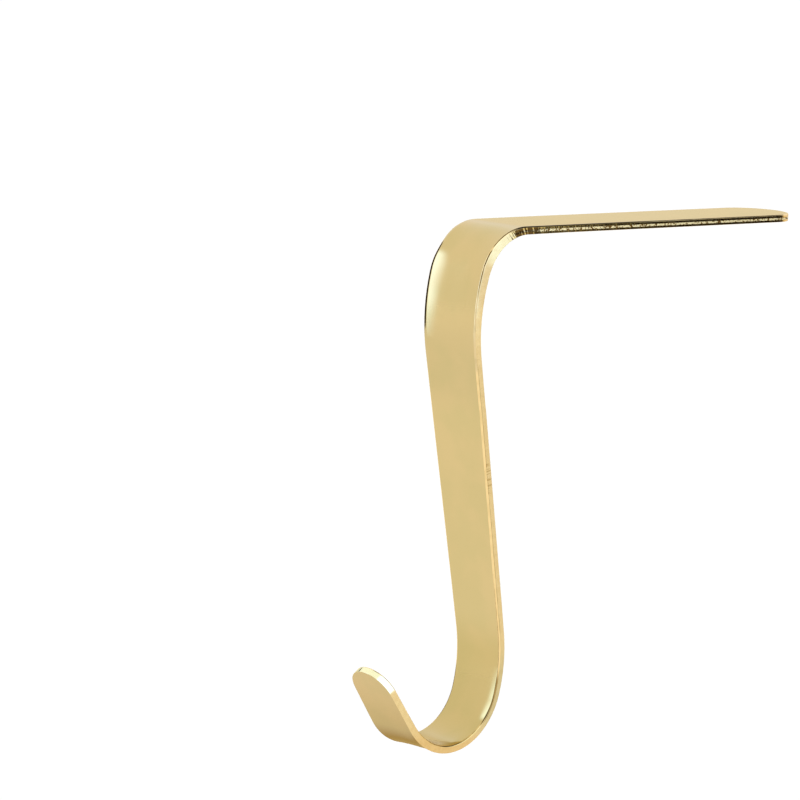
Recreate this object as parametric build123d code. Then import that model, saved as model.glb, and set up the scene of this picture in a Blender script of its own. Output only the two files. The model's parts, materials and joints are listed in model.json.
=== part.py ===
from build123d import *
from math import cos, radians, sin, tan
import os

# A stocking holder for a mantel: one strip of sheet, blanked with a taper and round ends, then folded twice.
# X runs across the strip, +Y along the arm onto the mantel, +Z up.
# The origin is under the arm, where its flat meets the bend and the mantel's top front edge lies.

# Sheet and blank, in millimetres.
THICKNESS = 1.6
ARM_WIDTH = 16.0
BOWL_WIDTH = 12.2
TIP_WIDTH = 11.1
EDGE_ROLL = 0.35
TAPER_LEAD = 4.0

# Straight stretches of the folded strip.
ARM_LENGTH = 84.5
LEG_LENGTH = 59.0
TIP_LENGTH = 15.0

# Folds: inside radii, and turns in degrees.
BEND_RADIUS = 10.9
BEND_TURN = 75.0
SHOULDER_RADIUS = 37.5
LEG_LEAN = 11.2
ENTRY_RADIUS = 30.4
ENTRY_TURN = 24.3
BOWL_RADIUS = 12.1
TIP_RISE = 55.0

SHOULDER_TURN = 90.0 + LEG_LEAN - BEND_TURN
BOWL_BACK_TURN = 90.0 + LEG_LEAN - ENTRY_TURN
SPARE = ARM_WIDTH
REACH = ARM_LENGTH + LEG_LENGTH + TIP_LENGTH


def face_lines(height):
    """Side view of one face of the strip, from the arm's end to past the tip, at a height in the sheet."""
    depth = THICKNESS - height
    arm = Line((ARM_LENGTH + SPARE, height), (0, height))
    bend = JernArc(arm @ 1, arm % 1, BEND_RADIUS + height, BEND_TURN)
    shoulder = JernArc(bend @ 1, bend % 1, SHOULDER_RADIUS + height, SHOULDER_TURN)
    leg = Line(shoulder @ 1, shoulder @ 1 + LEG_LENGTH * (shoulder % 1))
    entry = JernArc(leg @ 1, leg % 1, ENTRY_RADIUS + depth, -ENTRY_TURN)
    bowl_back = JernArc(entry @ 1, entry % 1, BOWL_RADIUS + depth, -BOWL_BACK_TURN)
    bowl_front = JernArc(bowl_back @ 1, bowl_back % 1, BOWL_RADIUS + depth, -TIP_RISE)
    tip = Line(bowl_front @ 1, bowl_front @ 1 + (TIP_LENGTH + SPARE) * (bowl_front % 1))
    return [arm, bend, shoulder, leg, entry, bowl_back], [bowl_front, tip]


def folded_band(front, back):
    """Folded sheet of full thickness between two runs of face lines, wider than the strip."""
    ends = [Line(front[0] @ 0, back[0] @ 0), Line(front[-1] @ 1, back[-1] @ 1)]
    return extrude(Plane.YZ * make_face([*front, *back, *ends]), ARM_WIDTH, both=True)


def eased_line(*points):
    """Side of the blank through the points, each corner eased over the taper's lead before and after it."""
    start, corner, end = (Vector(*point) for point in points[:3])
    turn = (corner - start).get_angle(end - corner)
    return FilletPolyline(*points, radius=TAPER_LEAD / tan(radians(turn / 2)))


def mirrored_outline(side, cap):
    """Face inside an edge line, its mirror image and the line that joins their far ends."""
    other = mirror(side, about=Plane.YZ)
    return make_face([side, cap, other, Line(other @ 0, side @ 0)])


def front_view(floor):
    """Blank's outline from the front: full width on the arm, easing into the taper down to the bowl."""
    side = eased_line(
        (BOWL_WIDTH / 2, floor - SPARE),
        (BOWL_WIDTH / 2, floor + THICKNESS + TAPER_LEAD),
        (ARM_WIDTH / 2, -TAPER_LEAD),
        (ARM_WIDTH / 2, SPARE),
    )
    top = Line(side @ 1, (-ARM_WIDTH / 2, SPARE))
    return extrude(Plane.XZ * mirrored_outline(side, top), REACH, both=True)


def arm_view():
    """Arm's outline from above, with its full-round end."""
    half = ARM_WIDTH / 2
    side = Line((half, -REACH), (half, ARM_LENGTH - half))
    cap = TangentArc(side @ 1, (-half, ARM_LENGTH - half), tangent=side % 1)
    return extrude(mirrored_outline(side, cap), REACH, both=True)


def tip_view(lowest, tip_start):
    """Tip's outline square to its face: the taper runs on from the bowl to a full-round end."""
    along = Vector(0, -cos(radians(TIP_RISE)), sin(radians(TIP_RISE)))
    across = Vector(1, 0, 0)
    face = Plane(lowest, x_dir=across, z_dir=across.cross(along))
    end = (tip_start - lowest).dot(along) + TIP_LENGTH
    half = TIP_WIDTH / 2
    side = eased_line(
        (BOWL_WIDTH / 2, -SPARE),
        (BOWL_WIDTH / 2, THICKNESS + TAPER_LEAD),
        (half, end - half),
    )
    cap = TangentArc(side @ 1, (-half, end - half), tangent=side % 1)
    return extrude(face * mirrored_outline(side, cap), REACH, both=True)


def pressed_edges(strip, front):
    """Edges round the front face, which the punch pressed and rolled over."""
    seams = strip.edges().filter_by(GeomType.LINE).filter_by(Axis.X)
    profile = Plane.YZ * Wire(front)

    def on_front(edge):
        middle = edge @ 0.5
        return profile.distance_to(Vector(0, middle.Y, middle.Z)) < THICKNESS / 10

    return (strip.edges() - seams).filter_by(on_front)


def stocking_holder():
    """Whole holder: the arm, leg and back of the hook, joined to the front of the hook and its tip."""
    front_hanger, front_tip = face_lines(THICKNESS)
    back_hanger, back_tip = face_lines(0)
    lowest = Plane.YZ.from_local_coords(back_tip[0] @ 0)
    tip_start = Plane.YZ.from_local_coords(back_tip[1] @ 0)
    hanger = folded_band(front_hanger, back_hanger) & front_view(lowest.Z) & arm_view()
    hook = folded_band(front_tip, back_tip) & tip_view(lowest, tip_start)
    strip = (hanger + hook).clean()
    return fillet(pressed_edges(strip, front_hanger + front_tip), EDGE_ROLL)


os.makedirs("parts", exist_ok=True)
export_step(stocking_holder(), "parts/holder_strip.step")
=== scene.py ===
"""Mantel stocking holder: a blanked, folded and gold-plated strip in a white studio."""

from __future__ import annotations

import json
import logging
import math
from collections.abc import Iterator
from dataclasses import dataclass
from enum import Enum
from functools import partial

import bmesh
import bpy
from bmesh.types import BMEdge, BMesh, BMFace, BMVert
from bpy.types import Material, Node, NodeSocket as Socket, NodeTree, Object
from mathutils import Matrix, Vector
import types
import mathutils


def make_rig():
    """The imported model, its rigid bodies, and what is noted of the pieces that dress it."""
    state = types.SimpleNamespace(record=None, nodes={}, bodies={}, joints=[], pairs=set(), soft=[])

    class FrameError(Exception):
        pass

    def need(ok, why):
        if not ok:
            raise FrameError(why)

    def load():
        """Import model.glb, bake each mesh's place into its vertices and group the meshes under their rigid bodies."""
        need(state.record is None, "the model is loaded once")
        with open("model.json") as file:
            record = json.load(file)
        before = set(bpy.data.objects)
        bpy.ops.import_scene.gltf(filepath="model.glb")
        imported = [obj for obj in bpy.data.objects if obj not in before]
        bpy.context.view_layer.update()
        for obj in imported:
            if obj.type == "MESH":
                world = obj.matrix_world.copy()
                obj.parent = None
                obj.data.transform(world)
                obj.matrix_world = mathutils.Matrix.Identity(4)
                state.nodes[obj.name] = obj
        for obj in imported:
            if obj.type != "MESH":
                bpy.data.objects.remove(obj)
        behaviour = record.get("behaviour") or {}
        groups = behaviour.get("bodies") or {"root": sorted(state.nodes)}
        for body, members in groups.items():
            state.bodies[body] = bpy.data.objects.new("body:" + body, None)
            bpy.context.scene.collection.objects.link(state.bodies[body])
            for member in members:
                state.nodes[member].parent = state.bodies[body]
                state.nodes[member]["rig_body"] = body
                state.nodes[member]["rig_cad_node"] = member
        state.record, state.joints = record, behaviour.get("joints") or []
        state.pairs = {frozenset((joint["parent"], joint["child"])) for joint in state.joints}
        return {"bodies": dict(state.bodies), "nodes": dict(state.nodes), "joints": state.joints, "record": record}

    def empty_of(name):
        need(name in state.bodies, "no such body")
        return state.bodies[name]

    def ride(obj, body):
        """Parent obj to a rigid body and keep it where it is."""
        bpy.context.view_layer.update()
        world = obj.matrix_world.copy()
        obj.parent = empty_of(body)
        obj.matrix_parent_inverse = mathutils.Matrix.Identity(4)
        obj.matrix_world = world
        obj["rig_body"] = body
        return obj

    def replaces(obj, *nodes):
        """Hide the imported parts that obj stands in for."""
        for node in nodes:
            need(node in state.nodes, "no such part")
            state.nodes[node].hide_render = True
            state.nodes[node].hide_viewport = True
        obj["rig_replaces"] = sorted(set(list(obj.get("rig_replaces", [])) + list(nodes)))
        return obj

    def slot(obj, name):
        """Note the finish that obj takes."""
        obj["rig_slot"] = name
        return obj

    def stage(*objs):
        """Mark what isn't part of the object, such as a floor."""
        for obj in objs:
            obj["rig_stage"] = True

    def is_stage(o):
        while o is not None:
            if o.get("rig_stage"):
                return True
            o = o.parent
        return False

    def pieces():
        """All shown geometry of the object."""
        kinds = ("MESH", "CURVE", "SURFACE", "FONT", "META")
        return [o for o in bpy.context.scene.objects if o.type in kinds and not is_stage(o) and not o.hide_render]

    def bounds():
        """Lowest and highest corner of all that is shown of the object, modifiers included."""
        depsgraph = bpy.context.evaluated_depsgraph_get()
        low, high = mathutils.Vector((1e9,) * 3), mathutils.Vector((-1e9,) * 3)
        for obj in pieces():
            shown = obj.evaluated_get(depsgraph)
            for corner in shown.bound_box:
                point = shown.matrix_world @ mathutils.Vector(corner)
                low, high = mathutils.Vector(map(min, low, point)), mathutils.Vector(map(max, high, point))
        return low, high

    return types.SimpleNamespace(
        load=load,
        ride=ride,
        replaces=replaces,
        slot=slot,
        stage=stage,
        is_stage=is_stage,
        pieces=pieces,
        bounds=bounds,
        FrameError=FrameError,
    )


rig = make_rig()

Range = tuple[float, float]
Triple = tuple[float, float, float]
Colour = tuple[float, float, float]
Limits = tuple[float, float, float, float]

LOG = logging.getLogger("stocking_holder")
SIZE_FILE = "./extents.json"
BLANK_MAP = "blank"
CARD_MAP = "card"

# Metres in a millimetre, and the millimetres below which two points are one.
MM = 0.001
WELD = 1e-4

# Middle of the studio in metres, which the cards face and the camera is aimed past.
MIDDLE = (0.0, 0.015, -0.05)

# Inputs and output of a Mix node that blends colours.
MIX_SHARE, MIX_BASE, MIX_TONE, MIX_RESULT = 0, 6, 7, 2

# Half the side of a board before it is scaled, and of its map.
HALF_BOARD = 0.5

RISING = (0.0, 1.0)
FALLING = (1.0, 0.0)
WHITE = (1.0, 1.0, 1.0, 1.0)


class Inside(Enum):
    """The side of the strip that lies inside a fold, as the sign of the turn."""

    BACK = 1
    FRONT = -1


class Zone(Enum):
    """What a face of the strip belongs to, as the index of its material."""

    PLATED_FACE = 0
    SHEARED_EDGE = 1
    ROLLED_EDGE = 2


class Note(Enum):
    """What is noted at a vertex about its place on the flat blank, as the name of a mesh layer."""

    ALONG = "along"
    ACROSS = "across"
    DEPTH = "depth"
    HEADING = "heading"
    HALF = "half"
    RIM = "rim"


class Join(Enum):
    """How values or colours are taken together, as Blender's nodes name it."""

    ADD = "ADD"
    SUBTRACT = "SUBTRACT"
    MULTIPLY = "MULTIPLY"
    MAXIMUM = "MAXIMUM"
    FOLD_BACK = "PINGPONG"
    MIX = "MIX"


@dataclass(frozen=True)
class Run:
    """A straight stretch of the strip, and the step at which it is drawn, in millimetres."""

    length: float
    step: float


@dataclass(frozen=True)
class Fold:
    """A curved stretch: inside radius, turn in degrees, the side that lies inside, and the step."""

    radius: float
    degrees: float
    inside: Inside
    step: float


@dataclass(frozen=True)
class DrawnStretch:
    """Where a drawn stretch starts and ends along the strip, and its curvature towards the back."""

    start: float
    end: float
    curve: float

    def turn_within(self, low: float, high: float) -> float:
        """Angle that the stretch turns through between two lengths along the strip."""
        return self.curve * max(0.0, min(high, self.end) - max(low, self.start))


@dataclass(frozen=True)
class Flare:
    """How a fold's edges stand off it.

    Attributes:
        reach: Width at the edge over which the strip stands off.
        rise: How far it stands off at the edge, for a curvature of 1.
        power: Power of the curvature that the rise grows by.
        tilt: How much the side leans, for a curvature of 1.
        pivot: Height above the back about which the side leans.
        fade: Length over which the flare comes and goes at a fold's ends.
    """

    reach: float
    rise: float
    power: float
    tilt: float
    pivot: float
    fade: float

    def lift(self, curve: float, inset: float) -> float:
        """How far the strip stands off a fold at an inset from its edge."""
        return math.copysign(self.rise * abs(curve) ** self.power, curve) * self.near(inset) ** 2

    def lean(self, curve: float, inset: float, height: float) -> float:
        """How far the strip grows wider at a height above its back."""
        return self.tilt * curve * (self.pivot - height) * self.near(inset) ** 2

    def near(self, inset: float) -> float:
        """One at the edge, falling to zero at the flare's reach."""
        return max(0.0, 1 - inset / self.reach)


def eased_ramp(distance: float, lead: float) -> float:
    """Length past a corner, with the corner eased over a lead before and after it.

    Args:
        distance: Signed length past the corner.
        lead: Length over which the corner is eased on each side.

    Returns:
        Zero well before the corner and the distance itself well past it.
    """
    if distance <= -lead:
        return 0.0
    if distance >= lead:
        return distance
    return (distance + lead) ** 2 / (4 * lead)


def view_axes(azimuth: float, elevation: float) -> tuple[Vector, Vector, Vector]:
    """Axes of a view from a direction round the holder.

    Args:
        azimuth: Direction in degrees, 0 from the front and 90 from the right.
        elevation: Height of the direction above the horizon, in degrees.

    Returns:
        The view's right, its up, and its back, which points from the holder in that direction.
    """
    turn, rise = math.radians(azimuth), math.radians(elevation)
    back = Vector((math.sin(turn) * math.cos(rise), -math.cos(turn) * math.cos(rise), math.sin(rise)))
    right = Vector((math.cos(turn), math.sin(turn), 0))
    return right, back.cross(right), back


def noted(bm: BMesh, vert: BMVert, *notes: Note) -> tuple[float, ...]:
    """What is noted at a vertex, in the order asked for."""
    return tuple(vert[bm.verts.layers.float[note.value]] for note in notes)


def put_in_scene(bm: BMesh, name: str) -> Object:
    """Makes an object of a finished mesh and puts it in the scene.

    Args:
        bm: The mesh, which is used up.
        name: Name of the object and of its mesh.

    Returns:
        The new object.
    """
    mesh = bpy.data.meshes.new(name)
    bm.to_mesh(mesh)
    bm.free()
    made = bpy.data.objects.new(name, mesh)
    bpy.context.collection.objects.link(made)
    return made


@dataclass
class DrawnStrip:
    """The strip while it is drawn out of its last section.

    Attributes:
        bm: Mesh that is being drawn.
        section: Edges of the last section.
        place: Middle of the last section.
        half_width: Half the width of the last section.
        heading: How far the strip has turned since the arm, in radians.
        along: Length drawn so far.
    """

    bm: BMesh
    section: list[BMEdge]
    place: Vector
    half_width: float
    heading: float = 0.0
    along: float = 0.0

    @property
    def onward(self) -> Vector:
        """Direction in which the strip runs on."""
        return Vector((0, -math.cos(self.heading), -math.sin(self.heading)))

    @property
    def outward(self) -> Vector:
        """Direction that the front face looks in."""
        return Vector((0, -math.sin(self.heading), math.cos(self.heading)))

    @property
    def section_verts(self) -> list[BMVert]:
        """Vertices of the last section."""
        return list({vert for edge in self.section for vert in edge.verts})

    def run_on(self, length: float) -> None:
        """Draws the section straight on.

        Args:
            length: How far it is drawn.
        """
        step = self.onward * length
        drawn = bmesh.ops.extrude_edge_only(self.bm, edges=self.section)["geom"]
        self.section = [part for part in drawn if isinstance(part, BMEdge) and part.is_boundary]
        bmesh.ops.translate(self.bm, vec=step, verts=self.section_verts)
        self.place = self.place + step
        self.along += length

    def fold_on(self, radius: float, angle: float, inside: Inside) -> None:
        """Turns the section on about the axis of a fold.

        Args:
            radius: Radius of the fold at the middle of the sheet.
            angle: Angle of the turn, in radians.
            inside: Side of the strip that holds the axis.
        """
        centre = self.place - self.outward * radius * inside.value
        drawn = bmesh.ops.spin(
            self.bm,
            geom=self.section,
            cent=centre,
            axis=(1, 0, 0),
            angle=angle * inside.value,
            steps=1,
            use_duplicate=False,
        )["geom_last"]
        self.section = [part for part in drawn if isinstance(part, BMEdge)]
        self.heading += angle * inside.value
        self.place = centre + self.outward * radius * inside.value
        self.along += radius * angle

    def narrow_to(self, half_width: float, margin: float) -> None:
        """Brings the last section to a width, with its margins moved whole and only its middle squeezed.

        Args:
            half_width: New half width.
            margin: Width at each side that keeps its shape.
        """
        inner, new_inner = self.half_width - margin, half_width - margin
        for vert in self.section_verts:
            if abs(vert.co.x) > inner:
                vert.co.x -= math.copysign(inner - new_inner, vert.co.x)
            else:
                vert.co.x *= new_inner / inner
        self.half_width = half_width

    def turn_end(self, edges: list[BMEdge], axis: Vector, steps: int) -> None:
        """Turns half a section half round about the section's middle, which makes a full-round end.

        Args:
            edges: Edges of the half section.
            axis: Axis of the turn, square to the strip.
            steps: Number of steps that the turn takes.
        """
        bmesh.ops.spin(
            self.bm, geom=edges, cent=self.place, axis=axis, angle=math.pi, steps=steps, use_duplicate=False
        )

    def note(self, verts: list[BMVert]) -> None:
        """Writes down where vertices lie on the flat blank.

        Args:
            verts: Vertices that were made last.
        """
        layers = self.bm.verts.layers.float
        for vert in verts:
            ahead = (vert.co - self.place).dot(self.onward)
            turn = math.atan2(abs(ahead), abs(vert.co.x)) if abs(ahead) > WELD else 0.0
            values = {
                Note.ALONG: self.along + ahead,
                Note.ACROSS: vert.co.x,
                Note.HEADING: self.heading,
                Note.HALF: self.half_width,
                Note.RIM: self.along + math.copysign(turn * self.half_width, ahead),
            }
            for note, value in values.items():
                vert[layers[note.value]] = value


@dataclass
class HolderStrip:
    """The holder's one piece: arm, bend, leg, bowl and tip of one strip, in millimetres and degrees.

    Attributes:
        taper_lead: Length over which each corner of the taper is eased.
        edge_roll: Height of the rolled front edge, and roll_reach its width.
        across_cuts: Cuts of the section, from its middle; torn_cuts and sheared_cuts are heights.
        margin: Width at each side that keeps its shape while the strip narrows.
        flare_change: Length along the strip where the bend's flare gives way to the bowl's.
        right_share: Share of the bend's lift that the right side takes.
        draw_reach: Width over which the left edge is drawn in at the bend.
        draw_share: Share of the bend's lift that is taken back at that edge.
        sink_depth: How far that edge sinks, most at sink_middle and out to sink_reach on each side.
        sink_power: How sharply the sinking grows towards that edge.
    """

    name: str = "folded_strip"
    thickness: float = 1.6
    arm_width: float = 16.0
    bowl_width: float = 12.2
    tip_width: float = 11.1
    taper_lead: float = 4.0
    arm_length: float = 84.5
    leg_length: float = 59.0
    tip_length: float = 15.0
    bend_radius: float = 10.9
    bend_turn: float = 75.0
    shoulder_radius: float = 37.5
    leg_lean: float = 11.2
    entry_radius: float = 30.4
    entry_turn: float = 24.3
    bowl_radius: float = 12.1
    tip_rise: float = 55.0
    edge_roll: float = 0.28
    roll_reach: float = 0.31
    roll_segments: int = 8
    back_break: float = 0.03
    break_segments: int = 2
    fracture_depth: float = 0.72
    fracture_undercut: float = 0.012
    across_cuts: tuple[float, ...] = (
        1.2, 2.4, 3.2, 3.9, 4.6, 5.3, 5.9, 6.4, 6.75, 6.95, 7.06, 7.12, 7.2, 7.32, 7.44, 7.54, 7.63,
    )
    torn_cuts: tuple[float, ...] = (0.3, 0.55)
    sheared_cuts: tuple[float, ...] = (0.82, 1.1)
    end_segments: int = 64
    margin: float = 3.0
    arm_step: float = 1.5
    leg_step: float = 1.0
    tip_step: float = 0.8
    fold_step: float = 0.5
    crease_angle: float = 20.0
    bend_flare: Flare = Flare(reach=5.5, rise=2.05, power=0.5, tilt=7.5, pivot=1.2, fade=11.0)
    bowl_flare: Flare = Flare(reach=2.0, rise=40.0, power=2.0, tilt=3.3, pivot=0.8, fade=6.0)
    flare_change: float = 147.0
    right_share: float = 0.72
    draw_reach: float = 0.91
    draw_share: float = 0.8
    sink_depth: float = 0.3
    sink_middle: float = 94.8
    sink_reach: float = 6.0
    sink_power: float = 1.5

    @property
    def leg_heading(self) -> float:
        """How far the strip has turned since the arm where it runs down the leg."""
        return 90 + self.leg_lean

    def stretches(self) -> Iterator[Run | Fold]:
        """The strip's stretches in order, from the arm's round end to the tip's.

        Returns:
            Straight runs and folds, with the step at which each is drawn.
        """
        yield Run(self.arm_length - self.arm_width / 2, self.arm_step)
        yield Fold(self.bend_radius, self.bend_turn, Inside.BACK, self.fold_step)
        yield Fold(self.shoulder_radius, self.leg_heading - self.bend_turn, Inside.BACK, self.leg_step)
        yield Run(self.leg_length, self.leg_step)
        yield Fold(self.entry_radius, self.entry_turn, Inside.FRONT, self.tip_step)
        yield Fold(self.bowl_radius, self.leg_heading - self.entry_turn, Inside.FRONT, self.fold_step)
        yield Fold(self.bowl_radius, self.tip_rise, Inside.FRONT, self.fold_step)
        yield Run(self.tip_length - self.tip_width / 2, self.tip_step)

    def lowest_height(self) -> float:
        """Height of the back's lowest point, which is under the bowl.

        Returns:
            The height, negative because the arm's underside is at zero.
        """
        bend, leg = math.radians(self.bend_turn), math.radians(self.leg_heading)
        entry = math.radians(self.leg_heading - self.entry_turn)
        falls = (
            self.bend_radius * (1 - math.cos(bend)),
            self.shoulder_radius * (math.cos(bend) - math.cos(leg)),
            self.leg_length * math.sin(leg),
            (self.entry_radius + self.thickness) * (math.cos(entry) - math.cos(leg)),
            (self.bowl_radius + self.thickness) * (1 - math.cos(entry)),
        )
        return -sum(falls)

    def build(self) -> Object:
        """Draws the strip and makes its object.

        Returns:
            The strip's object, in metres and in the frame's own place.
        """
        bm = bmesh.new()
        for note in Note:
            bm.verts.layers.float.new(note.value)
        self.half_section(bm)
        drawn = self.arm_end(bm)
        stretches = self.draw_stretches(drawn)
        self.tip_end(drawn)
        bmesh.ops.remove_doubles(bm, verts=bm.verts, dist=WELD)
        bmesh.ops.recalc_face_normals(bm, faces=bm.faces)
        self.curl_edges(bm, stretches)
        self.mark_zones(bm)
        self.lay_pattern_map(bm)
        bmesh.ops.scale(bm, vec=(MM, MM, MM), verts=bm.verts)
        piece = put_in_scene(bm, self.name)
        LOG.info("%s: %d faces", self.name, len(piece.data.polygons))
        return piece

    def half_section(self, bm: BMesh) -> None:
        """Makes the right half of the arm's section: flat faces, rolled front edge and sheared side.

        Args:
            bm: Mesh that takes the section.
        """
        half, start = self.arm_width / 2, self.arm_length - self.arm_width / 2
        outline = ((0, 0), (half, 0), (half, self.thickness), (0, self.thickness))
        corners = [bm.verts.new((x, start, z)) for x, z in outline]
        for first, second in zip(corners, corners[1:]):
            bm.edges.new((first, second))
        back_corner, front_corner = corners[1:3]
        for corner, offset, segments in (
            (front_corner, self.edge_roll, self.roll_segments),
            (back_corner, self.back_break, self.break_segments),
        ):
            bmesh.ops.bevel(
                bm,
                geom=[corner],
                offset=offset,
                affect="VERTICES",
                segments=segments,
                profile=0.5,
                material=-1,
            )
        for across in self.across_cuts:
            self.cut(bm, (across, 0, 0), (1, 0, 0))
        for depth in (*self.torn_cuts, self.fracture_depth, *self.sheared_cuts):
            self.cut(bm, (0, 0, depth), (0, 0, 1))
        depth_layer = bm.verts.layers.float[Note.DEPTH.value]
        for vert in bm.verts:
            vert[depth_layer] = vert.co.z
            inset = half - vert.co.x
            if inset < self.edge_roll + WELD and vert.co.z > self.thickness - self.edge_roll - WELD:
                vert.co.x = half - inset * self.roll_reach / self.edge_roll
            if vert.co.x > half - self.back_break - WELD and vert.co.z < self.fracture_depth:
                vert.co.x -= self.fracture_undercut * (1 - vert.co.z / self.fracture_depth)

    @staticmethod
    def cut(bm: BMesh, point: Triple, normal: Triple) -> None:
        """Cuts every edge of the mesh at a plane."""
        everything = bm.verts[:] + bm.edges[:] + bm.faces[:]
        bmesh.ops.bisect_plane(bm, geom=everything, plane_co=point, plane_no=normal)

    def arm_end(self, bm: BMesh) -> DrawnStrip:
        """Turns the half section about the end of the arm, which makes the arm's full-round end.

        Args:
            bm: Mesh that holds the half section.

        Returns:
            The strip with the whole section of the arm ready to be drawn.
        """
        half = self.arm_width / 2
        place = Vector((0, self.arm_length - half, self.thickness / 2))
        drawn = DrawnStrip(bm, bm.edges[:], place, half, along=half)
        drawn.turn_end(drawn.section, drawn.outward, self.end_segments)
        bmesh.ops.remove_doubles(bm, verts=bm.verts, dist=WELD)
        drawn.section = [edge for edge in bm.edges if edge.is_boundary]
        drawn.note(bm.verts[:])
        return drawn

    def draw_stretches(self, drawn: DrawnStrip) -> list[DrawnStretch]:
        """Draws every stretch of the strip in small steps and narrows it on the way.

        Args:
            drawn: The strip with its arm's section ready.

        Returns:
            The stretches as they were drawn.
        """
        done = []
        lowest = drawn.place
        for stretch in self.stretches():
            start = drawn.along
            match stretch:
                case Run(length, step):
                    count = math.ceil(length / step)
                    take_step = partial(drawn.run_on, length / count)
                    curve = 0.0
                case Fold(radius, degrees, inside, step):
                    middle, angle = radius + self.thickness / 2, math.radians(degrees)
                    count = math.ceil(middle * angle / step)
                    take_step = partial(drawn.fold_on, middle, angle / count, inside)
                    curve = inside.value / middle
            for _ in range(count):
                take_step()
                drawn.narrow_to(self.half_width_at(drawn, lowest), self.margin)
                drawn.note(drawn.section_verts)
            done.append(DrawnStretch(start, drawn.along, curve))
            if drawn.place.z < lowest.z:
                lowest = drawn.place - drawn.outward * self.thickness / 2
        return done

    def half_width_at(self, drawn: DrawnStrip, lowest: Vector) -> float:
        """Half the blank's width at the last section.

        Args:
            drawn: The strip as far as it is drawn.
            lowest: Lowest point of the strip's back, once it is drawn.

        Returns:
            Half the width, which tapers down the leg and again along the tip.
        """
        arm, bowl, tip = self.arm_width / 2, self.bowl_width / 2, self.tip_width / 2
        lead = self.taper_lead
        if drawn.heading >= -WELD:
            floor = self.lowest_height() + self.thickness + lead
            fall = (arm - bowl) / (-lead - floor)
            down = eased_ramp(-lead - drawn.place.z, lead) - eased_ramp(floor - drawn.place.z, lead)
            return arm - fall * down
        rise = math.radians(self.tip_rise)
        onward = Vector((0, -math.cos(rise), math.sin(rise)))
        corner = self.thickness + lead
        end = (self.bowl_radius + self.thickness) * math.sin(rise) + self.tip_length - tip
        past = eased_ramp((drawn.place - lowest).dot(onward) - corner, lead)
        return bowl - (bowl - tip) * past / (end - corner)

    def tip_end(self, drawn: DrawnStrip) -> None:
        """Turns the right half of the last section about the tip, which closes its full-round end.

        Args:
            drawn: The strip, drawn to where the tip's end begins.
        """
        before = set(drawn.bm.verts)
        right = [edge for edge in drawn.section if all(vert.co.x > -WELD for vert in edge.verts)]
        drawn.turn_end(right, -drawn.outward, self.end_segments)
        drawn.note([vert for vert in drawn.bm.verts if vert not in before])

    def curl_edges(self, bm: BMesh, stretches: list[DrawnStretch]) -> None:
        """Gives the folds the saddle that folding leaves: edges off the fold, and sides that lean.

        Args:
            bm: Mesh of the drawn strip.
            stretches: The stretches as they were drawn.
        """
        for vert in bm.verts:
            along, across, depth, heading, half = noted(
                bm, vert, Note.ALONG, Note.ACROSS, Note.DEPTH, Note.HEADING, Note.HALF
            )
            at_bend = along < self.flare_change
            flare = self.bend_flare if at_bend else self.bowl_flare
            low, high = along - flare.fade, along + flare.fade
            curve = sum(stretch.turn_within(low, high) for stretch in stretches) / (2 * flare.fade)
            if at_bend:
                lift = self.bend_lift(curve, along, across, half)
            else:
                lift = self.bowl_lift(curve, across, half)
            # The arm stays flat: the lift only begins where the bend does.
            begun = min(1.0, max(0.0, (along - self.arm_length) / self.bend_flare.fade))
            vert.co += Vector((0, -math.sin(heading), math.cos(heading))) * lift * begun
            vert.co.x += math.copysign(1, across) * flare.lean(curve, half - abs(across), depth)

    def bend_lift(self, curve: float, along: float, across: float, half: float) -> float:
        """How far the strip is lifted at the bend, where the left edge is drawn in again and sinks.

        Args:
            curve: Curvature of the strip there.
            along: Length along the strip.
            across: Distance from its middle line, negative on the left.
            half: Half its width there.

        Returns:
            The lift towards the front.
        """
        inset = half - abs(across)
        lift, most = self.bend_flare.lift(curve, inset), self.bend_flare.lift(curve, 0)
        if across < 0:
            lift -= self.draw_share * most * max(0.0, 1 - inset / self.draw_reach)
        else:
            lift *= self.right_share
        aside = max(-1.0, min(1.0, (along - self.sink_middle) / self.sink_reach))
        sink = (1 - self.draw_share) * most + self.sink_depth * math.cos(aside * math.pi / 2) ** 2
        return lift - sink * (max(0.0, 1 - across / half) / 2) ** self.sink_power

    def bowl_lift(self, curve: float, across: float, half: float) -> float:
        """How far the strip is lifted in the bowl, most at its middle and not at all at its edges.

        Args:
            curve: Curvature of the strip there.
            across: Distance from its middle line, negative on the left.
            half: Half its width there.

        Returns:
            The lift towards the front.
        """
        inset = half - abs(across)
        if across < 0:
            inset *= self.bowl_flare.reach / half
        return self.bowl_flare.lift(curve, inset) - self.bowl_flare.lift(curve, 0)

    def mark_zones(self, bm: BMesh) -> None:
        """Sorts the faces into their zones, and keeps sharp corners crisp.

        Args:
            bm: Mesh of the drawn strip.
        """
        for face in bm.faces:
            face.smooth = True
            face.material_index = self.zone_of(bm, face).value
        for edge in bm.edges:
            if edge.calc_face_angle(0.0) > math.radians(self.crease_angle):
                edge.smooth = False

    def zone_of(self, bm: BMesh, face: BMFace) -> Zone:
        """Finds what a face belongs to.

        Args:
            bm: Mesh of the drawn strip.
            face: One of its faces.

        Returns:
            The plated faces, the sheared edge or the rolled edge.
        """
        depths = [depth for vert in face.verts for depth in noted(bm, vert, Note.DEPTH)]
        if max(depths) - min(depths) < WELD:
            return Zone.PLATED_FACE
        sheared = max(depths) < self.thickness - self.edge_roll + WELD
        return Zone.SHEARED_EDGE if sheared else Zone.ROLLED_EDGE

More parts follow.
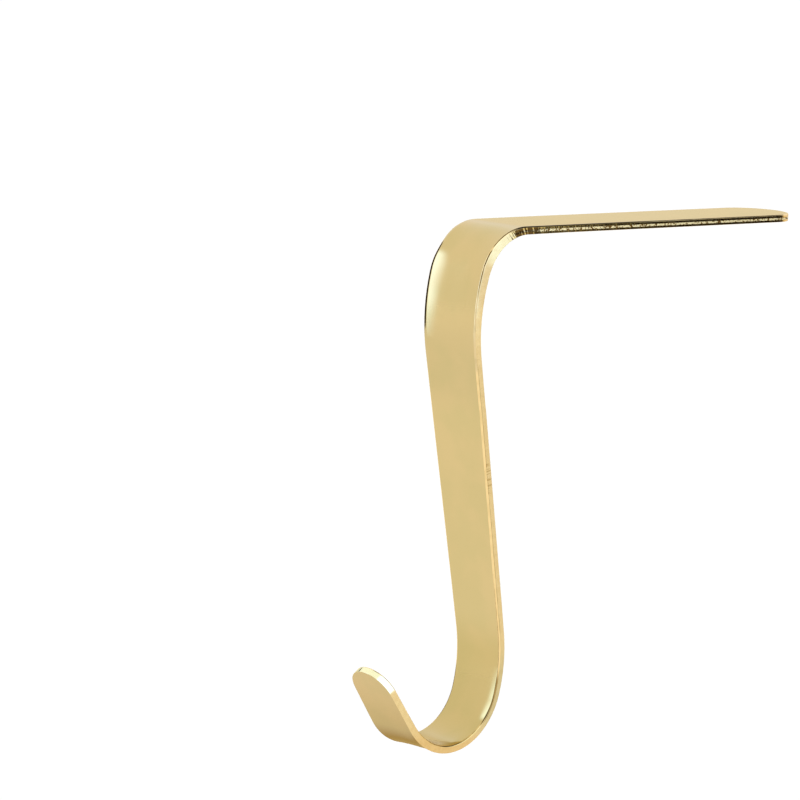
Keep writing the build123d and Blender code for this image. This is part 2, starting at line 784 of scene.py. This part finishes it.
    def lay_pattern_map(self, bm: BMesh) -> None:
        """Maps the flat blank onto the faces, and the rim's length and depth onto the sheared edge.

        Args:
            bm: Mesh of the drawn strip, with its zones marked.
        """
        pattern = bm.loops.layers.uv.new(BLANK_MAP)
        for face in bm.faces:
            sheared = face.material_index == Zone.SHEARED_EDGE.value
            notes = (Note.RIM, Note.DEPTH) if sheared else (Note.ALONG, Note.ACROSS)
            for loop in face.loops:
                loop[pattern].uv = [value * MM for value in noted(bm, loop.vert, *notes)]

    def dress(self, piece: Object, *finishes: Material) -> None:
        """Puts the finishes on the strip, in the order of its zones.

        Args:
            piece: The strip's object.
            finishes: Materials of the plated faces, the sheared edge and the rolled edge.
        """
        for finish in finishes:
            piece.data.materials.append(finish)
        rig.ride(piece, "root")
        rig.replaces(piece, "holder_strip")
        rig.slot(piece, "gold_plate")


@dataclass(frozen=True)
class Grain:
    """A noise pattern in a finish.

    Attributes:
        scale: Cells in a metre, or in a metre of each axis of a map.
        detail: Finer layers on top of the first one.
        swing: Values of the noise that count as none and as all of it.
    """

    scale: float | Triple
    detail: float
    swing: Range = (0.3, 0.7)


@dataclass(frozen=True)
class Patch:
    """A part of the strip with a tone laid on it; many of these tones are painted shade or painted highlight.

    Attributes:
        limits: Where the tone starts to come in, is in, starts to go and is gone, in millimetres.
        tone: Share of each colour that is left, or the colour that is mixed in.
    """

    limits: Limits
    tone: Colour


class ShaderBench:
    """Lays out the nodes of one material or of the world."""

    def __init__(self, name: str, tree: NodeTree | None = None) -> None:
        """Starts an empty node material, or takes a tree that is empty already.

        Args:
            name: Name of the material.
            tree: Empty tree to use in place of a new material's.
        """
        self.material = None
        self.tree = tree
        if tree is None:
            self.material = bpy.data.materials.new(name)
            self.material.use_nodes = True
            self.tree = self.material.node_tree
            self.tree.nodes.clear()

    def feed(self, socket: Socket, value: object) -> None:
        """Links an input to a socket, or sets it to a plain value.

        Args:
            socket: The input.
            value: Socket or plain value.
        """
        if isinstance(value, Socket):
            self.tree.links.new(value, socket)
        else:
            socket.default_value = value

    def node(self, kind: str, *values: object, **inputs: object) -> Node:
        """Adds a node and sets or links its inputs.

        Args:
            kind: Node type without the ShaderNode prefix.
            values: Values or sockets of its first inputs, in order.
            inputs: Values or sockets by input name, with underscores for spaces. A lower-case name is
                a setting of the node.

        Returns:
            The new node.
        """
        node = self.tree.nodes.new("ShaderNode" + kind)
        for key, value in inputs.items():
            if key.islower():
                setattr(node, key, value)
            else:
                self.feed(node.inputs[key.replace("_", " ")], value)
        for value, socket in zip(values, node.inputs):
            self.feed(socket, value)
        return node

    def combine(self, how: Join, *values: Socket | float) -> Socket:
        """Values taken together by a Math node."""
        return self.node("Math", *values, operation=how.value).outputs[0]

    def place(self) -> Socket:
        """Place on the piece, in metres."""
        return self.node("TexCoord").outputs["Object"]

    def pattern(self, name: str) -> Socket:
        """Coordinates of one of the piece's own maps."""
        return self.node("UVMap", uv_map=name).outputs["UV"]

    def noise(self, vector: Socket, grain: Grain) -> Socket:
        """Even noise between 0 and 1.

        Args:
            vector: Coordinates that the noise follows.
            grain: Its pattern.

        Returns:
            The noise.
        """
        scale = grain.scale
        if isinstance(scale, tuple):
            vector = self.node("Mapping", Vector=vector, Scale=scale).outputs["Vector"]
            scale = 1.0
        return self.node("TexNoise", Vector=vector, Scale=scale, Detail=grain.detail).outputs["Fac"]

    def remap(self, value: Socket, span: Range, to: Range = RISING) -> Socket:
        """Value with a span of it mapped smoothly onto another range."""
        node = self.node("MapRange", value, *span, *to, interpolation_type="SMOOTHSTEP")
        return node.outputs["Result"]

    def seen(self, level: float, otherwise: float = 0.0) -> Socket:
        """Strength for rays that show a surface, in the picture or in a reflection, and for all others.

        Args:
            level: Strength where a camera, glossy or transmission ray looks.
            otherwise: Strength as light.

        Returns:
            The strength.
        """
        path = self.node("LightPath")
        looks = path.outputs["Is Camera Ray"]
        for ray in ("Is Glossy Ray", "Is Transmission Ray"):
            looks = self.combine(Join.MAXIMUM, looks, path.outputs[ray])
        return self.remap(looks, RISING, (otherwise, level))

    def stretch(self, length: Socket, limits: Limits) -> Socket:
        """One over a stretch of the strip and zero beyond it.

        Args:
            length: Length along the strip or depth in its side, in metres.
            limits: The limits of a patch, in millimetres.

        Returns:
            The share of the stretch.
        """
        come, here, go, gone = (MM * limit for limit in limits)
        coming = self.remap(length, (come, here))
        going = self.remap(length, (go, gone), FALLING)
        return self.combine(Join.MULTIPLY, coming, going)

    def blended(self, base: Socket | Colour, tone: Colour, share: Socket, how: Join) -> Socket:
        """Colour blended with a tone, as far as a share says.

        Args:
            base: Colour without the tone.
            tone: Colour that is blended with it.
            share: How far the tone is taken, from 0 to 1.
            how: Whether the tone is multiplied on or mixed in.

        Returns:
            The toned colour.
        """
        node = self.node("Mix", data_type="RGBA", blend_type=how.value)
        self.feed(node.inputs[MIX_SHARE], share)
        self.feed(node.inputs[MIX_BASE], base if isinstance(base, Socket) else (*base, 1))
        self.feed(node.inputs[MIX_TONE], (*tone, 1))
        return node.outputs[MIX_RESULT]

    def patched(self, colour: Socket, length: Socket, *patches: Patch) -> Socket:
        """Colour with the tones of some patches multiplied on.

        Args:
            colour: Colour without them.
            length: Length along the strip, in metres.
            patches: Stretches of the strip with their tones.

        Returns:
            The toned colour.
        """
        for patch in patches:
            share = self.stretch(length, patch.limits)
            colour = self.blended(colour, patch.tone, share, Join.MULTIPLY)
        return colour

    def relief(self, height: Socket, distance: float) -> Socket:
        """Lie of a surface whose relief goes from 0 to 1, over a distance in metres."""
        return self.node("Bump", Strength=1.0, Distance=distance, Height=height).outputs["Normal"]

    def metal(self, **inputs: Socket) -> Material:
        """Finishes the material as metal with a colour, a roughness and a relief where it has one."""
        return self.finish(self.node("BsdfPrincipled", Metallic=1.0, **inputs))

    def finish(self, shader: Node) -> Material:
        """Links a shader's first output to the material's surface."""
        self.node("OutputMaterial", Surface=shader.outputs[0])
        return self.material


@dataclass(frozen=True)
class PlatedFace:
    """Bright satin gold plating on rolled sheet, with soft clouds and faint rolling lines."""

    name: str = "gold_plated_face"
    warm: Colour = (0.70, 0.53, 0.238)
    olive: Colour = (0.66, 0.515, 0.226)
    # Painted shade: the plating is toned darker down in the bowl.
    bowl: Patch = Patch((172, 182, 217, 235), (0.90, 0.895, 0.80))
    shoulder: Patch = Patch((108, 115, 123, 131), (0.945, 0.95, 0.96))
    tip: Patch = Patch((214, 222, 300, 310), (0.99, 0.95, 0.91))
    clouds: Grain = Grain(110, detail=3, swing=(0.35, 0.65))
    lines: Grain = Grain((60, 2600, 1), detail=3)
    grain: Grain = Grain(2600, detail=2)
    relief: float = 2e-7
    roughness: Range = (0.10, 0.13)

    def material(self) -> Material:
        """Makes the plating's material.

        Returns:
            The node material.
        """
        bench = ShaderBench(self.name)
        place, blank = bench.place(), bench.pattern(BLANK_MAP)
        length = bench.node("SeparateXYZ", Vector=blank).outputs["X"]
        lines = bench.noise(blank, self.lines)
        clouds = bench.remap(bench.noise(place, self.clouds), self.clouds.swing)
        colour = bench.blended(self.warm, self.olive, clouds, Join.MIX)
        height = bench.combine(Join.ADD, bench.noise(place, self.grain), lines)
        return bench.metal(
            Base_Color=bench.patched(colour, length, self.bowl, self.shoulder, self.tip),
            Roughness=bench.remap(lines, self.lines.swing, self.roughness),
            Normal=bench.relief(height, self.relief),
        )


@dataclass(frozen=True)
class PaintedHighlightRoll:
    """Rolled-over edge's plating: a painted highlight, worn in patches, with painted shade in stretches."""

    name: str = "gold_roll_painted_highlight"
    # Painted highlight: the rolled edge is painted brighter than the faces, and duller where it is worn.
    bright: Colour = (0.97, 0.71, 0.33)
    worn: Colour = (0.86, 0.63, 0.28)
    # Painted shade: the arm's rolled edge is darkened beside the bend, as a dark reflection would darken it.
    painted_bend_shade: Patch = Patch((42, 57, 85, 91), (0.24, 0.20, 0.13))
    # Painted shade dims the roll past the bend and along the bottom, and darkens it to a line in the bowl.
    shoulder: Patch = Patch((96, 101, 118.5, 121), (0.80, 0.84, 0.92))
    bowl: Patch = Patch((184, 187, 194.5, 198), (0.44, 0.39, 0.28))
    bottom: Patch = Patch((193, 198, 216, 222), (0.80, 0.74, 0.58))
    wear: Grain = Grain(420, detail=3)
    worn_swing: Range = (0.4, 0.65)
    roughness: Range = (0.09, 0.16)

    def material(self) -> Material:
        """Makes the rolled edge's material.

        Returns:
            The node material.
        """
        bench = ShaderBench(self.name)
        wear = bench.noise(bench.place(), self.wear)
        length = bench.node("SeparateXYZ", Vector=bench.pattern(BLANK_MAP)).outputs["X"]
        plate = bench.blended(self.bright, self.worn, bench.remap(wear, self.worn_swing), Join.MIX)
        # The painted highlight colour, with painted shade multiplied on in stretches.
        return bench.metal(
            Base_Color=bench.patched(plate, length, self.painted_bend_shade, self.shoulder, self.bowl, self.bottom),
            Roughness=bench.remap(wear, self.wear.swing, self.roughness),
        )


@dataclass(frozen=True)
class ShearedEdge:
    """Gold plating on the sheared side: streaked, notched and torn as the shears left it, with painted shade and
    highlights.

    Attributes:
        painted_shade_line: Painted shade in a dashed dark line along the leg, by its height above the back.
        torn: Torn band along the arm, by its height above the back, with painted shade in its hollows and painted
            glints on its crests.
        dash_gap: Strength of the painted shade line between its dashes.
        shade_streak_swing: Surplus over the marks where a streak of painted shade begins and is full; notch_swing, a
            notch.
        relief: Height of the streaks in metres, and leg_relief the share of it that the leg keeps.
    """

    name: str = "gold_sheared_edge"
    bright: Colour = (0.84, 0.635, 0.30)
    deep: Colour = (0.79, 0.585, 0.265)
    # Painted highlight: the tip's end face is mixed towards pale cream.
    tip: Patch = Patch((229.2, 230.0, 300, 310), (1.0, 0.97, 0.60))
    # Painted shade darkens the side along the bowl's bottom, in the bowl and past the bend.
    bottom: Patch = Patch((197, 203, 214, 222), (0.95, 0.85, 0.72))
    bowl: Patch = Patch((177, 185, 194, 201), (0.78, 0.82, 0.82))
    shoulder: Patch = Patch((96, 98.5, 104, 108), (0.82, 0.70, 0.58))
    leg: Patch = Patch((112, 122, 174, 184), (0.93, 0.92, 0.91))
    # Painted shade: a dashed dark line along the leg's side, just below the rolled edge.
    painted_shade_line: Patch = Patch((1.06, 1.12, 1.20, 1.26), (0.70, 0.64, 0.52))
    # Painted shade browns the arm's side; the torn band's tone is painted shade in its hollows.
    arm: Patch = Patch((-20, -10, 87, 91), (0.95, 0.78, 0.42))
    torn: Patch = Patch((0.43, 0.53, 0.86, 0.98), (0.22, 0.16, 0.09))
    # Painted glints: the crests of the torn band's grit are mixed towards pale gold.
    painted_glint: Colour = (1.0, 0.84, 0.46)
    # Painted shade beside the bend, laid in streaks.
    painted_bend_shade: Patch = Patch((74, 83.5, 87, 98.5), (0.14, 0.10, 0.055))
    notched: Patch = Patch((136, 140, 143, 156), (0.76, 0.70, 0.58))
    pits: Grain = Grain(900, detail=3, swing=(0.35, 0.65))
    grit: Grain = Grain(2200, detail=1, swing=(0.42, 0.52))
    streaks: Grain = Grain((2400, 260, 1), detail=3)
    marks: Grain = Grain((2300, 200, 1), detail=2)
    dashes: Grain = Grain((330, 0, 1), detail=4, swing=(0.38, 0.55))
    dash_gap: float = 0.25
    shade_streak_swing: Range = (0.36, 0.46)
    notch_swing: Range = (0.48, 0.58)
    roughness: Range = (0.12, 0.20)
    torn_roughness: float = 0.45
    relief: float = 4e-5
    leg_relief: float = 0.12

    def material(self) -> Material:
        """Makes the sheared edge's material.

        Returns:
            The node material.
        """
        bench = ShaderBench(self.name)
        place, rim = bench.place(), bench.pattern(BLANK_MAP)
        length, depth = bench.node("SeparateXYZ", Vector=rim).outputs[:2]
        arm, leg = (bench.stretch(length, patch.limits) for patch in (self.arm, self.leg))
        torn = bench.combine(Join.MULTIPLY, arm, bench.stretch(depth, self.torn.limits))
        painted_shade_line = bench.combine(Join.MULTIPLY, leg, bench.stretch(depth, self.painted_shade_line.limits))
        pits, grit = (
            bench.remap(bench.noise(place, grain), grain.swing) for grain in (self.pits, self.grit)
        )
        streaks, marks, dashes = (
            bench.noise(rim, grain) for grain in (self.streaks, self.marks, self.dashes)
        )
        dashes = bench.remap(dashes, self.dashes.swing, (self.dash_gap, 1))
        # Painted glints on the grit's crests and painted shade in its hollows, over the arm's torn band.
        painted_glints, hollow_shade = (
            bench.combine(Join.MULTIPLY, torn, bench.remap(grit, RISING, to)) for to in (RISING, FALLING)
        )
        # Painted shade in streaks beside the bend, and notches along the leg.
        shade_streaks, notches = (
            bench.remap(bench.combine(Join.SUBTRACT, bench.stretch(length, patch.limits), marks), swing)
            for patch, swing in ((self.painted_bend_shade, self.shade_streak_swing), (self.notched, self.notch_swing))
        )
        colour = bench.blended(self.bright, self.deep, pits, Join.MIX)
        # Painted shade along the bowl, its bottom and past the bend.
        colour = bench.patched(colour, length, self.bowl, self.bottom, self.shoulder)
        # Of these tones, the arm's, the dashed line's, the hollows' and the streaks' are painted shade, the crests'
        # painted glints and the tip's a painted highlight.
        for share, tone, how in (
            (leg, self.leg.tone, Join.MULTIPLY),
            (bench.combine(Join.MULTIPLY, painted_shade_line, dashes), self.painted_shade_line.tone, Join.MULTIPLY),
            (arm, self.arm.tone, Join.MULTIPLY),
            (notches, self.notched.tone, Join.MULTIPLY),
            (hollow_shade, self.torn.tone, Join.MULTIPLY),
            (painted_glints, self.painted_glint, Join.MIX),
            (bench.stretch(length, self.tip.limits), self.tip.tone, Join.MIX),
            (shade_streaks, self.painted_bend_shade.tone, Join.MULTIPLY),
        ):
            colour = bench.blended(colour, tone, share, how)
        roughness = bench.combine(
            Join.ADD,
            bench.remap(streaks, self.streaks.swing, self.roughness),
            bench.remap(torn, RISING, (0, self.torn_roughness)),
        )
        ticks = bench.combine(Join.MULTIPLY, streaks, bench.remap(arm, RISING, (self.leg_relief, 1)))
        return bench.metal(Base_Color=colour, Roughness=roughness, Normal=bench.relief(ticks, self.relief))


@dataclass(frozen=True)
class Card:
    """A soft box, reflector or flag of the studio, hung where the metal mirrors it, in metres and degrees.

    Attributes:
        azimuth: Direction from the holder, 0 to the front and 90 to the right.
        elevation: Height of that direction above the horizon.
        distance: How far off the card's plane is.
        span: Width and height of the card.
        slide: How far the card is moved sideways and up in its plane.
        feather: Width of the card's soft border.
        shade: Colour of the card as it is mirrored, where 1 is white.
        turn: How far the card is turned in its plane.
    """

    name: str
    azimuth: float
    elevation: float
    distance: float
    span: Range
    slide: Range
    feather: float
    shade: Colour
    turn: float = 0.0

    def place(self) -> Matrix:
        """Finds where the card hangs, with its back turned away from the holder.

        Returns:
            Matrix that takes a card at the origin to its place.
        """
        right, up, back = view_axes(self.azimuth, self.elevation)
        spot = Vector(MIDDLE) + back * self.distance + right * self.slide[0] + up * self.slide[1]
        axes = Matrix((right, up, back)).transposed().to_4x4()
        return Matrix.Translation(spot) @ axes @ Matrix.Rotation(math.radians(self.turn), 4, "Z")

    def finish(self) -> Material:
        """Makes the card's material, which fades out along its border.

        Returns:
            The node material.
        """
        bench = ShaderBench(self.name)
        sides = bench.node("SeparateXYZ", Vector=bench.pattern(CARD_MAP)).outputs
        insets = (bench.combine(Join.FOLD_BACK, side, HALF_BOARD) for side in sides[:2])
        fades = (bench.remap(inset, (0, self.feather / length)) for inset, length in zip(insets, self.span))
        cover = bench.combine(Join.MULTIPLY, *fades)
        clear = bench.node("BsdfTransparent").outputs[0]
        glow = bench.node("Emission", Color=(*self.shade, 1), Strength=1.0).outputs[0]
        return bench.finish(bench.node("MixShader", cover, clear, glow))


BLACK = (0.012, 0.010, 0.008)

# Name, azimuth, elevation, distance, span, slide, feather, shade and turn of each card.
STUDIO_CARDS = (
    Card("front_box", -28, 0, 0.5, (0.32, 0.68), (-0.036, 0.272), 0.15, (1.6, 2.08, 3.2), 21.5),
    Card("low_box", -28, 0, 0.51, (0.25, 0.30), (0.001, -0.01), 0.09, (1.38, 1.77, 2.6)),
    Card("side_box", 100, 28, 0.7, (1.2, 0.92), (0, -0.03), 0.08, (1.22, 1.52, 2.12)),
    Card("top_box", 0, 90, 0.6, (0.41, 0.5), (0.455, -0.065), 0.04, (1.25, 1.6, 2.2)),
    Card("warm_card", -137, 0, 0.8, (1.2, 0.90), (0, -0.03), 0.33, (0.86, 0.75, 0.49)),
    Card("bend_flag", 0, 90, 0.13, (0.07, 0.09), (-0.015, -0.015), 0.008, BLACK),
    Card("front_flag", 20, 45, 0.7, (0.9, 0.44), (0, 0), 0.05, (0.20, 0.16, 0.08)),
    Card("low_flag", 20, 18, 2.0, (3.6, 0.66), (0, 0), 0.14, (0.38, 0.315, 0.19)),
    Card("back_top_flag", 0, 90, 0.54, (0.95, 0.75), (0.125, 0.60), 0.05, BLACK),
    Card("arm_flag", 136, 0, 0.211, (0.157, 0.115), (0.042, 0.0525), 0.01, BLACK),
    Card("left_flag", -86, 0, 0.7, (0.44, 0.60), (0.039, 0.073), 0.035, BLACK, 27.7),
    Card("floor_card", 0, -90, 0.114, (0.37, 0.40), (-0.145, -0.135), 0.08, (0.54, 0.385, 0.15)),
)


@dataclass
class Studio:
    """The white studio round the holder: floor, world, ceiling light and cards, in metres and degrees.

    Attributes:
        floor_lift: Glow that is added to the floor where it is seen, which whitens it.
        world_level: Strength of the white world as light; where it is seen it is 1.
    """

    floor_height: float = -0.165
    floor_size: float = 12.0
    floor_colour: Colour = (0.93, 0.93, 0.93)
    floor_lift: float = 0.3
    world_level: float = 0.4
    ceiling_level: float = 1.2
    ceiling_spread: float = 50.0
    cards: tuple[Card, ...] = STUDIO_CARDS

    def light(self) -> None:
        """Lights the studio: an even white world, a wide ceiling light, then the cards."""
        world = bpy.data.worlds.new("white_studio")
        bpy.context.scene.world = world
        world.use_nodes = True
        world.node_tree.nodes.clear()
        bench = ShaderBench(world.name, world.node_tree)
        sky = bench.node("Background", Color=WHITE, Strength=bench.seen(1.0, self.world_level))
        bench.node("OutputWorld", Surface=sky.outputs[0])
        LOG.info("world: white at 1 where it is seen, %.2f as light", self.world_level)
        lamp = bpy.data.lights.new("ceiling_light", "SUN")
        lamp.energy = self.ceiling_level
        lamp.angle = math.radians(self.ceiling_spread)
        ceiling = bpy.data.objects.new("ceiling_light", lamp)
        ceiling.visible_glossy = False
        bpy.context.collection.objects.link(ceiling)
        LOG.info("ceiling light: level %.2f over %.0f degrees", self.ceiling_level, self.ceiling_spread)
        for card in self.cards:
            self.hang(card)

    def board(self, name: str, size: Range, place: Matrix) -> Object:
        """Makes a flat board of the studio, which is no part of the holder.

        Args:
            name: Name of the board.
            size: Width and height.
            place: Matrix that takes a board at the origin to its place.

        Returns:
            The board's object.
        """
        bm = bmesh.new()
        bm.loops.layers.uv.new(CARD_MAP)
        bmesh.ops.create_grid(bm, x_segments=1, y_segments=1, size=HALF_BOARD, calc_uvs=True)
        bmesh.ops.scale(bm, vec=(*size, 1), verts=bm.verts)
        bmesh.ops.transform(bm, matrix=place, verts=bm.verts)
        board = put_in_scene(bm, name)
        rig.stage(board)
        return board

    def hang(self, card: Card) -> None:
        """Hangs one card in the studio, where only mirror rays meet it.

        Args:
            card: The soft box, reflector or flag.
        """
        board = self.board(card.name, card.span, card.place())
        board.data.materials.append(card.finish())
        board.visible_camera = board.visible_diffuse = board.visible_shadow = False
        LOG.info("%s: card at %.0f, %.0f degrees", card.name, card.azimuth, card.elevation)

    def lay_floor(self) -> None:
        """Lays the pale floor under the holder."""
        size = (self.floor_size, self.floor_size)
        floor = self.board("floor", size, Matrix.Translation((0, 0, self.floor_height)))
        bench = ShaderBench("white_sweep")
        paper = bench.node("BsdfDiffuse", Color=(*self.floor_colour, 1)).outputs[0]
        glow = bench.node("Emission", Color=WHITE, Strength=bench.seen(self.floor_lift)).outputs[0]
        floor.data.materials.append(bench.finish(bench.node("AddShader", paper, glow)))
        LOG.info("floor: %.0f mm under the arm", -self.floor_height / MM)


@dataclass(frozen=True)
class PhotoCamera:
    """The camera at the photograph's viewing angle, in metres, degrees and image pixels.

    Attributes:
        focal: Focal length in pixels of the image.
        offset: How far right and up of the picture's middle the studio's middle is.
    """

    yaw: float = 46.6654
    pitch: float = 8.0991
    roll: float = -2.6736
    distance: float = 0.82995
    focal: float = 3961.47
    image_width: int = 800
    sensor: float = 36.0
    offset: Range = (0.029995, -0.012290)
    clip: Range = (0.01, 50.0)

    def place(self) -> None:
        """Makes the camera and makes it the scene's own."""
        right, up, back = view_axes(self.yaw, self.pitch)
        roll = math.radians(self.roll)
        spot = Vector(MIDDLE) - right * self.offset[0] - up * self.offset[1] + back * self.distance
        rolled_right = right * math.cos(roll) - up * math.sin(roll)
        rolled_up = right * math.sin(roll) + up * math.cos(roll)
        lens = bpy.data.cameras.new("photo_camera")
        lens.sensor_width = self.sensor
        lens.lens = self.focal / self.image_width * self.sensor
        lens.clip_start, lens.clip_end = self.clip
        camera = bpy.data.objects.new("photo_camera", lens)
        axes = Matrix((rolled_right, rolled_up, back)).transposed().to_4x4()
        camera.matrix_world = Matrix.Translation(spot) @ axes
        bpy.context.collection.objects.link(camera)
        bpy.context.scene.camera = camera
        LOG.info("camera: %.1f mm lens at %.0f mm", lens.lens, self.distance / MM)


def main() -> None:
    """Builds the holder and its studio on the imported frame, and writes both boxes down."""
    logging.basicConfig(level=logging.INFO, format="%(name)s: %(message)s")
    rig.load()
    cad_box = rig.bounds()
    strip = HolderStrip()
    finishes = PlatedFace(), ShearedEdge(), PaintedHighlightRoll()
    strip.dress(strip.build(), *(finish.material() for finish in finishes))
    studio = Studio()
    studio.lay_floor()
    studio.light()
    PhotoCamera().place()
    bpy.context.scene.view_settings.view_transform = "Standard"
    with open(SIZE_FILE, "w") as file:
        json.dump(
            {
                "cad": [list(corner) for corner in cad_box],
                "visual": [list(corner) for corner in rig.bounds()],
            },
            file,
        )


if __name__ == "__main__":
    main()
